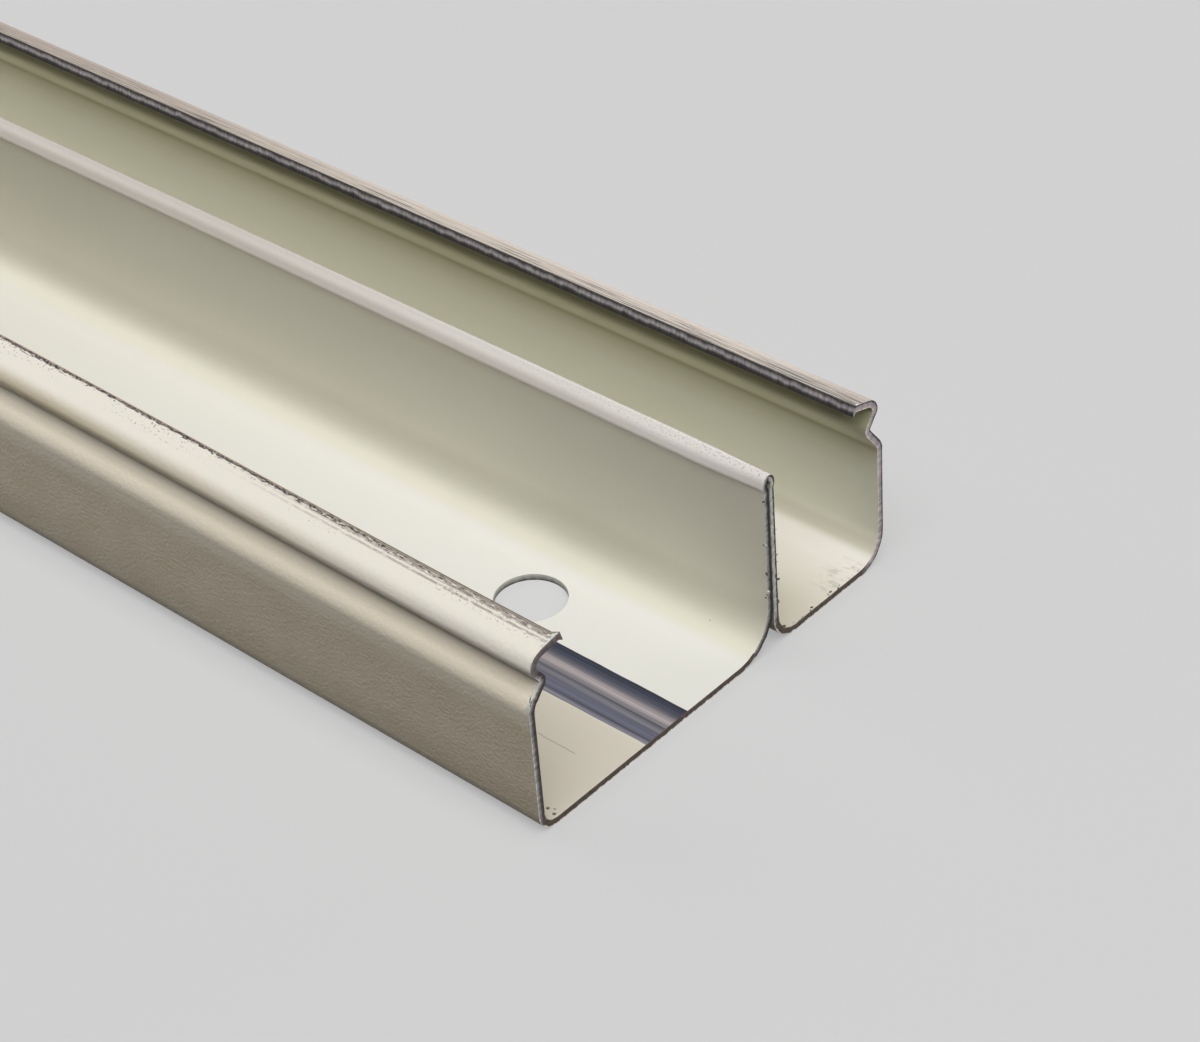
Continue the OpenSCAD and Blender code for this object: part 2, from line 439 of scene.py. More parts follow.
# %% Inside paint: the bare stripe, zinc with a painted reflection in lengthwise bands, dark along its far edge
PAINT_ROUGHNESS, ZINC_ROUGHNESS = 0.42, 0.3
edge_wave = add(tree, "ShaderNodeMath", {0: grain(tree, place, 9, 2, 5), 1: 0.3, 2: -0.15},
                operation="MULTIPLY_ADD")
wavy = add(tree, "ShaderNodeMath", {0: across, 1: edge_wave}, operation="ADD")
bare = between(tree, wavy, stripe_low, stripe_high, 0.05)
drift = add(tree, "ShaderNodeMath", {0: grain(tree, place, 70, 0.8, 6), 1: 0.5, 2: -0.25},
            operation="MULTIPLY_ADD")
drifting = add(tree, "ShaderNodeMath", {0: across, 1: drift}, operation="ADD")
# Painted reflection: the bands across the stripe mirror the divider
reflection_band = add(tree, "ShaderNodeMapRange",
              {"Value": drifting, "From Min": stripe_high, "From Max": stripe_low, "To Min": 0, "To Max": 1})
zinc_and_painted_reflection = add(tree, "ShaderNodeValToRGB", {0: reflection_band}, stops=[
    (0.00, "#16181E"), (0.05, "#4A5064"), (0.20, "#63677A"), (0.30, "#A39CA6"), (0.40, "#CDC3C6"),
    (0.50, "#94929C"), (0.55, "#5F5F6A"), (0.60, "#8C8B95"), (0.75, "#76788C"), (0.90, "#696978"),
    (0.97, "#9E9DAA"), (1.00, "#77767E")])
for lines, darkest, brightest in (
    (grain(tree, place, 60, 0.22, 7, 3.0), 0.72, 1.28),
    (grain(tree, place, 14, 0.07, 8, 2.0), 0.82, 1.18),
):
    streak = add(tree, "ShaderNodeMapRange",
                 {"Value": lines, "From Min": 0.3, "From Max": 0.7, "To Min": darkest, "To Max": brightest})
    zinc_and_painted_reflection = add(tree, "ShaderNodeVectorMath", {0: zinc_and_painted_reflection, "Scale": streak}, operation="SCALE")
gloss = add(tree, "ShaderNodeMapRange", {"Value": bare, "To Min": PAINT_ROUGHNESS, "To Max": ZINC_ROUGHNESS})
fill(tree, shader, {
    "Base Color": coat(tree, colour, zinc_and_painted_reflection, bare),
    "Metallic": product(tree, bare, 0.85),
    "Roughness": gloss,
    "Specular IOR Level": 0.4,
})
print("inside paint, whole:", len(tree.nodes), "nodes")

# %% [markdown]
# ## Textured ivory paint on the outside, worn at the lips
# The rims, beads and shoulders carry painted highlights, and the walls and grooves painted shade.
# The outside has a fine orange-peel texture that breaks up the light on the wall. Covers have been clipped
# on and off, so the lips are worn: a ragged dark line along the near lip's edge that breaks into patches
# towards the end, and thin dark streaks on the far lip.
# The peel is about 0.4 mm across, which just shows here, so a bump is enough for it.

# %% Outside paint: the coat, with painted highlights on the rims and painted shade on the walls
# Painted shade darkens the near wall towards its foot and carries on over the underside and the far wall's
# outer face. The grooves get painted shade too
paint_out, tree, shader = new_material("ivory_paint_textured")
place, _, across, from_end = strip_place(tree)
cloud = grain(tree, place, 5, 3, 11)
colour = add(tree, "ShaderNodeValToRGB", {0: cloud}, stops=[(0.3, "#E5D7BD"), (0.7, "#EBDEC7")])
near_end = add(tree, "ShaderNodeMapRange", {"Value": from_end, "From Min": 45, "From Max": 12},
               interpolation_type="SMOOTHSTEP")
to_far = add(tree, "ShaderNodeMath", {0: strip_mm, 1: across}, operation="SUBTRACT")
from_slit = add(tree, "ShaderNodeMath", {0: across, 1: to_far}, operation="MINIMUM")
# Painted highlights: the lips, beads and shoulders are paler than the walls, and the beads darken further
# back as painted shade
rim = add(tree, "ShaderNodeMapRange", {"Value": from_slit, "From Min": 10, "From Max": 4})
colour = coat(tree, colour, "#F5EFE3", rim)
bead_shade_back = add(tree, "ShaderNodeMapRange", {"Value": from_end, "From Min": 10, "From Max": 62})
bead_light_and_shade = coat(tree, "#FFF8EA", "#E3D5B7", bead_shade_back)
upper_bead, lower_bead = above(tree, from_slit, 3, 0.7), between(tree, from_slit, 1, 4.8, 0.3)
colour = coat(tree, colour, bead_light_and_shade, upper_bead, lower_bead)
colour = coat(tree, colour, "#F9EED9", between(tree, from_slit, 6.4, 10.1, 0.8))
foot_and_groove_shade = add(tree, "ShaderNodeMapRange",
            {"Value": across, "From Min": 16.5, "From Max": 24.5, "To Min": 0, "To Max": 0.55})
in_groove = between(tree, from_slit, 4.6, 6.2, 0.5)
foot_and_groove_shade = add(tree, "ShaderNodeMath", {0: in_groove, 1: 0.3, 2: foot_and_groove_shade}, operation="MULTIPLY_ADD")
colour = coat(tree, colour, "#7A7058", foot_and_groove_shade)
print("outside paint, coat:", len(tree.nodes), "nodes")

# %% Outside paint: the near lip
# A dark ragged line runs along the edge. Towards the ends it widens, over two soft grey bands
thick = add(tree, "ShaderNodeMapRange",
            {"Value": grain(tree, place, 12, 40, 20), "From Min": 0.3, "From Max": 0.7,
             "To Min": 0.14, "To Max": 0.3})
middle = add(tree, "ShaderNodeMath", {0: near_end, 1: 0.2, 2: 0.2}, operation="MULTIPLY_ADD")
half_line = add(tree, "ShaderNodeMath", {0: near_end, 1: 0.2, 2: thick}, operation="MULTIPLY_ADD")
away = add(tree, "ShaderNodeMath", {0: across, 1: middle}, operation="SUBTRACT")
away = add(tree, "ShaderNodeMath", {0: away}, operation="ABSOLUTE")
away = add(tree, "ShaderNodeMath", {0: away, 1: half_line}, operation="DIVIDE")
hold = add(tree, "ShaderNodeMath", {0: near_end, 1: 0.14, 2: 0.36}, operation="MULTIPLY_ADD")
hold = add(tree, "ShaderNodeMath", {0: away, 1: 0.2, 2: hold}, operation="MULTIPLY_ADD")
patches = grain(tree, place, 0.8, 0.16, 12, 4.0)
worn = above(tree, add(tree, "ShaderNodeMath", {0: patches, 1: hold}, operation="SUBTRACT"), 0, 0.04)
scuff = above(tree, grain(tree, place, 0.9, 0.25, 13, 4.0), 0.43, 0.12)
first_band = between(tree, across, 0.12, 0.72, 0.1)
second_band = between(tree, across, 0.92, 1.14, 0.08)
bands = add(tree, "ShaderNodeMath", {0: first_band, 1: second_band}, operation="ADD")
colour = coat(tree, colour, "#9C9289", scuff, bands, near_end, 0.8)
colour = coat(tree, colour, "#8B8270", between(tree, across, 0, 0.3, 0.08), 0.8)
clusters = above(tree, grain(tree, place, 7, 2, 19), 0.52, 0.08)
specks = above(tree, grain(tree, place, 0.26, 0.2, 14, 1.0), 0.7, 0.02)
specks = product(tree, specks, between(tree, across, 0.2, 1.6, 0.4), clusters, 0.8)
steel = add(tree, "ShaderNodeValToRGB", {0: grain(tree, place, 0.3, 0.15, 15, 3.0)}, stops=[
    (0.35, "#242222"), (0.5, "#454040"), (0.58, "#776D6A"), (0.68, "#B0A69E")])
at_tip = add(tree, "ShaderNodeMapRange", {"Value": from_end, "From Min": 20, "From Max": 4, "To Max": 0.5})
steel = coat(tree, steel, "#A0968E", at_tip)
near_worn = add(tree, "ShaderNodeMath", {0: worn, 1: specks}, operation="MAXIMUM")
colour = coat(tree, colour, steel, near_worn)
brown = coat(tree, "#B49C88", "#6B584C", near_end)
colour = coat(tree, colour, brown, between(tree, across, -1, 0.08, 0.02))
print("outside paint, with near lip:", len(tree.nodes), "nodes")

# %% Outside paint: the far lip
# Pinkish, with lengthwise streaks that crowd towards the end, and a dark arris
far_top = between(tree, to_far, -1, 3, 0.2)
inner_half = between(tree, to_far, -1, 1.7, 0.5)
colour = coat(tree, colour, "#DACCBF", far_top, 0.9)
# Painted shade darkens the far lip further back from the photographed end
further = add(tree, "ShaderNodeMapRange", {"Value": from_end, "From Min": 62, "From Max": 98, "To Max": 0.8})
handled = add(tree, "ShaderNodeMapRange", {"Value": from_end, "From Min": 9, "From Max": 2, "To Max": 0.6})
darker = add(tree, "ShaderNodeMath", {0: further, 1: handled}, operation="MAXIMUM")
colour = coat(tree, colour, "#B3A498", far_top, darker)
colour = coat(tree, colour, "#B4AA9A", between(tree, to_far, -1, 1.1, 0.4), 0.5)
streak = grain(tree, place, 9, 0.17, 16, 3.0)
crowding = product(tree, near_end, 0.11)
streak = add(tree, "ShaderNodeMath", {0: streak, 1: crowding}, operation="ADD")
streaks = product(tree, above(tree, streak, 0.6, 0.06), inner_half, 0.85)
arris = between(tree, to_far, -1, 0.1, 0.04)
line = product(tree, between(tree, to_far, 1.75, 1.87, 0.06), 0.4)
far_worn = add(tree, "ShaderNodeMath", {0: streaks, 1: arris}, operation="MAXIMUM")
far_worn = add(tree, "ShaderNodeMath", {0: far_worn, 1: line}, operation="MAXIMUM")
colour = coat(tree, colour, "#3A3434", far_worn)
print("outside paint, with far lip:", len(tree.nodes), "nodes")

# %% Outside paint: torn paint along the cut, and the peel
PEEL_DEPTH = 0.065 * MM
torn_to = add(tree, "ShaderNodeMath", {0: grain(tree, place, 0.5, 0.6, 17, 3.0), 1: -1.6, 2: from_end},
              operation="MULTIPLY_ADD")
torn_rim = add(tree, "ShaderNodeMath", {0: between(tree, across, 4.9, 8.6, 0.3), 1: -0.4, 2: torn_to},
               operation="MULTIPLY_ADD")
colour = coat(tree, colour, "#DADDD2", between(tree, torn_rim, -9, -0.78, 0.05))
gap = add(tree, "ShaderNodeVectorMath", {0: place, 1: (0.35, 7.3, 0)}, operation="DISTANCE")
pit = add(tree, "ShaderNodeMath", {0: gap.outputs["Value"], 1: torn_to}, operation="ADD")
colour = coat(tree, colour, "#3A3430", between(tree, pit, -9, -0.35, 0.08))
bare = add(tree, "ShaderNodeMath", {0: near_worn, 1: far_worn}, operation="MAXIMUM")
peel_strength = add(tree, "ShaderNodeMapRange",
                    {"Value": from_slit, "From Min": 8, "From Max": 12, "To Min": 0.4, "To Max": 0.85})
peel = add(tree, "ShaderNodeBump", {"Height": grain(tree, place, 0.42, 0.36, 18, 1.0),
                                    "Distance": PEEL_DEPTH, "Strength": peel_strength})
fill(tree, shader, {
    "Base Color": colour,
    "Metallic": product(tree, bare, 0.5),
    "Roughness": 0.45,
    "Specular IOR Level": 0.18,
    "Normal": peel,
})
print("outside paint, whole:", len(tree.nodes), "nodes")

# %% [markdown]
# ## Bare steel where the sheet was sawn, slit and punched
# A cut face isn't one colour: the blade leaves a bright burr on one side and a dark smear on the other.
# The depth through the sheet, 0 at the outer face and 1 at the inner one, tells the two sides apart.
# A plain metal with a bump would look polished here, so each cut gets layers of colour with torn borders.

# %% Sawn ends
sawn_steel, tree, shader = new_material("sawn_steel")
place, _, across, _ = strip_place(tree)
depth = add(tree, "ShaderNodeAttribute", attribute_name="depth").outputs["Fac"]
torn = add(tree, "ShaderNodeMath", {0: grain(tree, place, 1, 0.5, 21, 3.0), 1: 0.5, 2: -0.25},
           operation="MULTIPLY_ADD")
left_leaf = between(tree, across, floor_mm + 13, crown_mm, 0.1)
far_wall = above(tree, across, crown_mm + 31, 1)
flipped = add(tree, "ShaderNodeMath", {0: left_leaf, 1: far_wall}, operation="ADD")
from_inside = add(tree, "ShaderNodeMath", {0: 1, 1: depth}, operation="SUBTRACT")
layer = add(tree, "ShaderNodeMapRange", {"Value": flipped, "To Min": depth, "To Max": from_inside})
layer = add(tree, "ShaderNodeMath", {0: layer, 1: torn}, operation="ADD")
cuts = {
    "wall": [(0.05, "#D6D2CE"), (0.16, "#A8A2A3"), (0.42, "#8B8586"), (0.56, "#574C4B"), (0.95, "#463D3B")],
    "floor": [(0.04, "#F2ECE4"), (0.12, "#A89B8F"), (0.22, "#54483F"), (0.85, "#5A4D45"), (0.97, "#8A7D72")],
    "left leaf": [(0.05, "#B7B4B0"), (0.2, "#94918D"), (0.42, "#807D7A"), (0.54, "#34302E"),
                  (0.95, "#262322")],
    "right leaf": [(0.0, "#2B2826"), (0.1, "#B4B5B0"), (0.6, "#C8C9C4"), (0.72, "#55514E"),
                   (0.95, "#413D3B")],
    "far wall": [(0.05, "#E6DCD6"), (0.2, "#BFB3B4"), (0.7, "#A99EA3"), (0.84, "#554D4E"),
                 (0.97, "#443D3E")],
}
for name, stops in cuts.items():
    cuts[name] = add(tree, "ShaderNodeValToRGB", {0: layer}, stops=stops)
leaf = coat(tree, cuts["left leaf"], cuts["right leaf"], above(tree, across, crown_mm, 0.05))
on_wide_floor = between(tree, across, floor_mm - 16, floor_mm + 13, 1)
on_far_floor = between(tree, across, crown_mm + 17, crown_mm + 31, 1)
on_floor = add(tree, "ShaderNodeMath", {0: on_wide_floor, 1: on_far_floor}, operation="MAXIMUM")
colour = coat(tree, cuts["wall"], cuts["far wall"], far_wall)
colour = coat(tree, colour, cuts["floor"], on_floor)
colour = coat(tree, colour, leaf, between(tree, across, floor_mm + 15, crown_mm + 16, 0.8))
lip = add(tree, "ShaderNodeMath", {0: across, 1: 4.5}, operation="LESS_THAN")
colour = coat(tree, colour, "#6E6261", lip, 0.8)
mottle = add(tree, "ShaderNodeMapRange",
             {"Value": grain(tree, place, 1, 0.3, 22, 3.0), "From Min": 0.3, "From Max": 0.7,
              "To Min": 0.75, "To Max": 1.25})
colour = add(tree, "ShaderNodeVectorMath", {0: colour, "Scale": mottle}, operation="SCALE")
fill(tree, shader, {"Base Color": colour, "Metallic": 0.8, "Roughness": 0.45})
print("sawn steel:", len(tree.nodes), "nodes for", ", ".join(cuts))

# %% Slit edges of the lips
# The slitting knife leaves a bright sheared band between two dark ones
slit_steel, tree, shader = new_material("slit_steel")
place = strip_place(tree)[0]
depth = add(tree, "ShaderNodeAttribute", attribute_name="depth").outputs["Fac"]
torn = add(tree, "ShaderNodeMath", {0: grain(tree, place, 1.4, 50, 23, 5.0), 1: 0.5, 2: -0.25},
           operation="MULTIPLY_ADD")
layer = add(tree, "ShaderNodeMath", {0: depth, 1: torn}, operation="ADD")
colour = add(tree, "ShaderNodeValToRGB", {0: layer}, stops=[
    (0.0, "#6A6462"), (0.08, "#454143"), (0.2, "#6A6568"), (0.32, "#A39EA3"), (0.5, "#BDB8BD"),
    (0.62, "#837F83"), (0.74, "#464346"), (1.0, "#343235")])
speckle = add(tree, "ShaderNodeMapRange",
              {"Value": grain(tree, place, 0.35, 0.3, 24, 3.0), "From Min": 0.3, "From Max": 0.7,
               "To Min": 0.7, "To Max": 1.3})
colour = add(tree, "ShaderNodeVectorMath", {0: colour, "Scale": speckle}, operation="SCALE")
fill(tree, shader, {"Base Color": colour, "Metallic": 0.4, "Roughness": 0.4})
print("slit steel:", len(tree.nodes), "nodes")

# %% Punched walls of the holes
# The punch shears the upper part bright and tears the lower part dark, and the dark lower part is also
# painted shade down in the hole. A punched wall has no place on the strip map, so this one reads its height
# and its mottling, about 0.5 mm across, from Object coordinates
punched_steel, tree, shader = new_material("punched_steel")
MOTTLE = 0.5 * MM
at = add(tree, "ShaderNodeTexCoord").outputs["Object"]
up = add(tree, "ShaderNodeSeparateXYZ", {0: at}).outputs["Z"]
mottle = add(tree, "ShaderNodeTexNoise", {"Vector": at, "Scale": 1 / MOTTLE, "Detail": 3.0})
layer = add(tree, "ShaderNodeMath", {0: up, 1: 1 / sheet_t}, operation="MULTIPLY")
layer = add(tree, "ShaderNodeMath", {0: mottle, 1: 0.5, 2: layer}, operation="MULTIPLY_ADD")
colour = add(tree, "ShaderNodeValToRGB", {0: layer}, stops=[
    (0.3, "#45433F"), (0.5, "#8B8A85"), (0.85, "#B9B8B1"), (1.0, "#D2CFC6")])
fill(tree, shader, {"Base Color": colour, "Metallic": 0.4, "Roughness": 0.4})
print("punched steel:", len(tree.nodes), "nodes")

# %% Chips of paint and curls of burr at the cut
# They are a fraction of a millimetre long, so a pattern on them would never show
paint_chip, tree, shader = new_material("chipped_paint")
fill(tree, shader, {"Base Color": linear("#D3D7CB"), "Roughness": 0.5})
steel_burr, tree, shader = new_material("steel_burr")
fill(tree, shader, {"Base Color": linear("#4B4746"), "Metallic": 0.4, "Roughness": 0.4})
print("chips:", paint_chip.name, "and", steel_burr.name)

# %% [markdown]
# ## Rolling, punching and cutting the strip
# The strip is a thin box with a grid on it, and rolling moves each grid line across it to its station.
# A sweep of the outline along a line would give the same channel, but the box keeps every point's place on
# the flat strip, and that is where the paint, the bare stripe and the wear were laid down.
# Geometry Nodes do this well, because the shape follows one rule from a few sizes.

# %% Tree and its named sizes
roll = bpy.data.node_groups.new("roll_punch_and_cut", "GeometryNodeTree")
roll.interface.new_socket("Geometry", in_out="OUTPUT", socket_type="NodeSocketGeometry")
roll.interface.new_socket("Section", in_out="INPUT", socket_type="NodeSocketGeometry")
for name, kind in {
    "Stations": "Int",
    "Rings": "Int",
    "Length": "Float",
    "Sheet": "Float",
    "Hole Count": "Int",
    "Hole Radius": "Float",
    "Hole Spacing": "Float",
    "First Hole": "Vector",
    "Cut Raggedness": "Float",
    "Wall Lean": "Float",
    "Spring Length": "Float",
    "Crown Squeeze": "Float",
    "Crown Middle": "Float",
    "Ear": "Vector",
    "Chip Spacing": "Float",
    "Chip Size": "Vector",
}.items():
    roll.interface.new_socket(name, in_out="INPUT", socket_type="NodeSocket" + kind)
given = add(roll, "NodeGroupInput").outputs
print("tree inputs:", ", ".join(socket.name for socket in given if socket.name))

# %% Tree: the flat strip, its stations and its rings
cube = add(roll, "GeometryNodeMeshCube",
           {"Vertices X": given["Rings"], "Vertices Y": given["Stations"], "Vertices Z": 2})
coated = add(roll, "GeometryNodeSetMaterial", {"Geometry": cube.outputs["Mesh"], "Material": paint_out})
flat = add(roll, "ShaderNodeSeparateXYZ", {0: add(roll, "GeometryNodeInputPosition")}).outputs
last_station = add(roll, "ShaderNodeMath", {0: given["Stations"], 1: 1}, operation="SUBTRACT")
share = add(roll, "ShaderNodeMath", {0: flat["Y"], 1: 0.5}, operation="ADD")
station = add(roll, "ShaderNodeMath", {0: share, 1: last_station}, operation="MULTIPLY")
station = add(roll, "FunctionNodeFloatToInt", {0: station}, rounding_mode="ROUND")
depth = add(roll, "ShaderNodeMath", {0: flat["Z"], 1: 0.5}, operation="ADD")

# Rings crowd towards both ends, where the cut and the lips need them: gaps grow with the square of the count
half_length = add(roll, "ShaderNodeMath", {0: given["Length"], 1: 0.5}, operation="MULTIPLY")
to_end = add(roll, "ShaderNodeMath", {0: flat["X"]}, operation="ABSOLUTE")
to_end = add(roll, "ShaderNodeMath", {0: to_end, 1: -2, 2: 1}, operation="MULTIPLY_ADD")
to_end = add(roll, "ShaderNodeMath", {0: to_end, 1: 2}, operation="POWER")
from_middle = add(roll, "ShaderNodeMath", {0: 1, 1: to_end}, operation="SUBTRACT")
from_middle = add(roll, "ShaderNodeMath", {0: from_middle, 1: half_length}, operation="MULTIPLY")
which_end = add(roll, "ShaderNodeMath", {0: flat["X"]}, operation="SIGN")
ring_x = add(roll, "ShaderNodeMath", {0: from_middle, 1: which_end}, operation="MULTIPLY")
print("strip and rings:", len(roll.nodes), "nodes")

# %% Tree: what each point takes from its station
position = add(roll, "GeometryNodeInputPosition")
section_point = add(roll, "GeometryNodeSampleIndex",
                    {"Geometry": given["Section"], "Value": position, "Index": station},
                    data_type="FLOAT_VECTOR")
side = add(roll, "GeometryNodeInputNamedAttribute", {"Name": "side"}, data_type="FLOAT_VECTOR")
section_side = add(roll, "GeometryNodeSampleIndex",
                   {"Geometry": given["Section"], "Value": side, "Index": station}, data_type="FLOAT_VECTOR")
at_station = {}
for name in ("across", *shares):
    value = add(roll, "GeometryNodeInputNamedAttribute", {"Name": name}, data_type="FLOAT")
    at_station[name] = add(roll, "GeometryNodeSampleIndex",
                           {"Geometry": given["Section"], "Value": value, "Index": station},
                           data_type="FLOAT")

# The strip map: distance back from the photographed end, and distance across from the near slit edge
from_cut = add(roll, "ShaderNodeMath", {0: half_length, 1: ring_x}, operation="SUBTRACT")
strip_map = add(roll, "ShaderNodeCombineXYZ", {"X": from_cut, "Y": at_station["across"]})
mapped = coated
for name, value, data_type, domain in (
    ("strip", strip_map, "FLOAT2", "CORNER"),
    ("depth", depth, "FLOAT", "CORNER"),
    ("face_of_strip", add(roll, "GeometryNodeInputNormal"), "FLOAT_VECTOR", "FACE"),
):
    mapped = add(roll, "GeometryNodeStoreNamedAttribute", {"Geometry": mapped, "Name": name, "Value": value},
                 data_type=data_type, domain=domain)
rise_height = add(roll, "ShaderNodeMath", {0: depth, 1: given["Sheet"]}, operation="MULTIPLY")
rise = add(roll, "ShaderNodeVectorMath", {0: section_side, "Scale": rise_height}, operation="SCALE")
place = add(roll, "ShaderNodeVectorMath", {0: section_point, 1: rise}, operation="ADD")
print("taken from each station:", ", ".join(at_station))

# %% Tree: the wall's lean, the squeezed crown and the bent lip tip
SQUEEZE_REACH = 7 * MM
TIP_REACH = 0.55 * MM
from_middle = add(roll, "ShaderNodeMath", {0: ring_x}, operation="ABSOLUTE")
from_end = add(roll, "ShaderNodeMath", {0: half_length, 1: from_middle}, operation="SUBTRACT")
settled = add(roll, "ShaderNodeMapRange", {"Value": from_end, "From Max": given["Spring Length"]},
              interpolation_type="SMOOTHSTEP")
lean = product(roll, at_station["lean"], settled, given["Wall Lean"])
at_cut = add(roll, "ShaderNodeMapRange",
             {"Value": from_end, "From Max": SQUEEZE_REACH, "To Min": 1, "To Max": 0},
             interpolation_type="SMOOTHSTEP")
squeeze = product(roll, at_station["squeeze"], at_cut, given["Crown Squeeze"])
rolled_y = add(roll, "ShaderNodeSeparateXYZ", {0: place}).outputs["Y"]
to_crown = add(roll, "ShaderNodeMath", {0: given["Crown Middle"], 1: rolled_y}, operation="SUBTRACT")
sideways = add(roll, "ShaderNodeMath", {0: squeeze, 1: to_crown, 2: lean}, operation="MULTIPLY_ADD")
at_tip = add(roll, "ShaderNodeMapRange",
             {"Value": from_cut, "From Max": TIP_REACH, "To Min": 1, "To Max": 0},
             interpolation_type="SMOOTHSTEP")
at_tip = product(roll, at_tip, at_station["ear"])
ear = add(roll, "ShaderNodeVectorMath", {0: given["Ear"], "Scale": at_tip}, operation="SCALE")
print("with lean, squeeze and tip:", len(roll.nodes), "nodes")

# %% Tree: the saw's ragged cut
# Only the end rings move, each point by its own small step back
TOOTH = 0.7 * MM
END_RING = 0.01 * MM
teeth = add(roll, "ShaderNodeCombineXYZ", {"X": at_station["across"], "Y": rise_height, "Z": which_end})
teeth = add(roll, "ShaderNodeTexNoise", {"Vector": teeth, "Scale": 1 / TOOTH, "Detail": 2.0})
on_cut = add(roll, "FunctionNodeCompare", {"A": from_end, "B": END_RING}, operation="LESS_THAN")
step_back = product(roll, teeth, given["Cut Raggedness"], on_cut, which_end)
cut_x = add(roll, "ShaderNodeMath", {0: ring_x, 1: step_back}, operation="SUBTRACT")
shift = add(roll, "ShaderNodeCombineXYZ", {"X": cut_x, "Y": sideways})
place = add(roll, "ShaderNodeVectorMath", {0: place, 1: shift}, operation="ADD")
place = add(roll, "ShaderNodeVectorMath", {0: place, 1: ear}, operation="ADD")
rolled = add(roll, "GeometryNodeSetPosition", {"Geometry": mapped, "Position": place})
print("rolled and cut:", len(roll.nodes), "nodes")

# %% Tree: punch the screw holes and shade the bends smooth
HOLE_SIDES = 96
PUNCH_SHEETS = 4
CREASE = math.radians(40)
hole_step = add(roll, "ShaderNodeCombineXYZ", {"X": given["Hole Spacing"]})
hole_line = add(roll, "GeometryNodeMeshLine",
                {"Count": given["Hole Count"], "Start Location": given["First Hole"], "Offset": hole_step})
punch = add(roll, "GeometryNodeMeshCylinder",
            {"Vertices": HOLE_SIDES, "Radius": given["Hole Radius"],
             "Depth": product(roll, given["Sheet"], PUNCH_SHEETS)})
punch = add(roll, "GeometryNodeSetMaterial", {"Geometry": punch, "Material": punched_steel})
punches = add(roll, "GeometryNodeInstanceOnPoints", {"Points": hole_line, "Instance": punch})
punches = add(roll, "GeometryNodeRealizeInstances", {"Geometry": punches})
punched = add(roll, "GeometryNodeMeshBoolean", {"Mesh 1": rolled, "Mesh 2": punches},
              operation="DIFFERENCE", solver="EXACT")
smooth = add(roll, "GeometryNodeSetShadeSmooth", {"Geometry": punched})
edge_angle = add(roll, "GeometryNodeInputMeshEdgeAngle")
crease = add(roll, "FunctionNodeCompare", {"A": edge_angle, "B": CREASE}, operation="GREATER_THAN")
smooth = add(roll, "GeometryNodeSetShadeSmooth",
             {"Geometry": smooth, "Selection": crease, "Shade Smooth": False}, domain="EDGE")
realized = add(roll, "GeometryNodeRealizeInstances", {"Geometry": smooth})
print("punched:", len(roll.nodes), "nodes")

# %% Tree: finishes
# Every face takes its finish from the side of the flat strip that it was. What was no side is a punched wall
facing = add(roll, "GeometryNodeInputNamedAttribute", {"Name": "face_of_strip"}, data_type="FLOAT_VECTOR")
facing = add(roll, "ShaderNodeSeparateXYZ", {0: facing}).outputs
dressed = add(roll, "GeometryNodeSetMaterial", {"Geometry": realized, "Material": punched_steel})
for axis, sign, material in (
    ("Z", 1, paint_in), ("Z", -1, paint_out),
    ("X", 1, sawn_steel), ("X", -1, sawn_steel),
    ("Y", 1, slit_steel), ("Y", -1, slit_steel),
):
    turned = product(roll, facing[axis], sign)
    faces = add(roll, "FunctionNodeCompare", {"A": turned, "B": 0.5}, operation="GREATER_THAN")
    dressed = add(roll, "GeometryNodeSetMaterial",
                  {"Geometry": dressed, "Selection": faces, "Material": material})
print("dressed:", len(roll.nodes), "nodes")

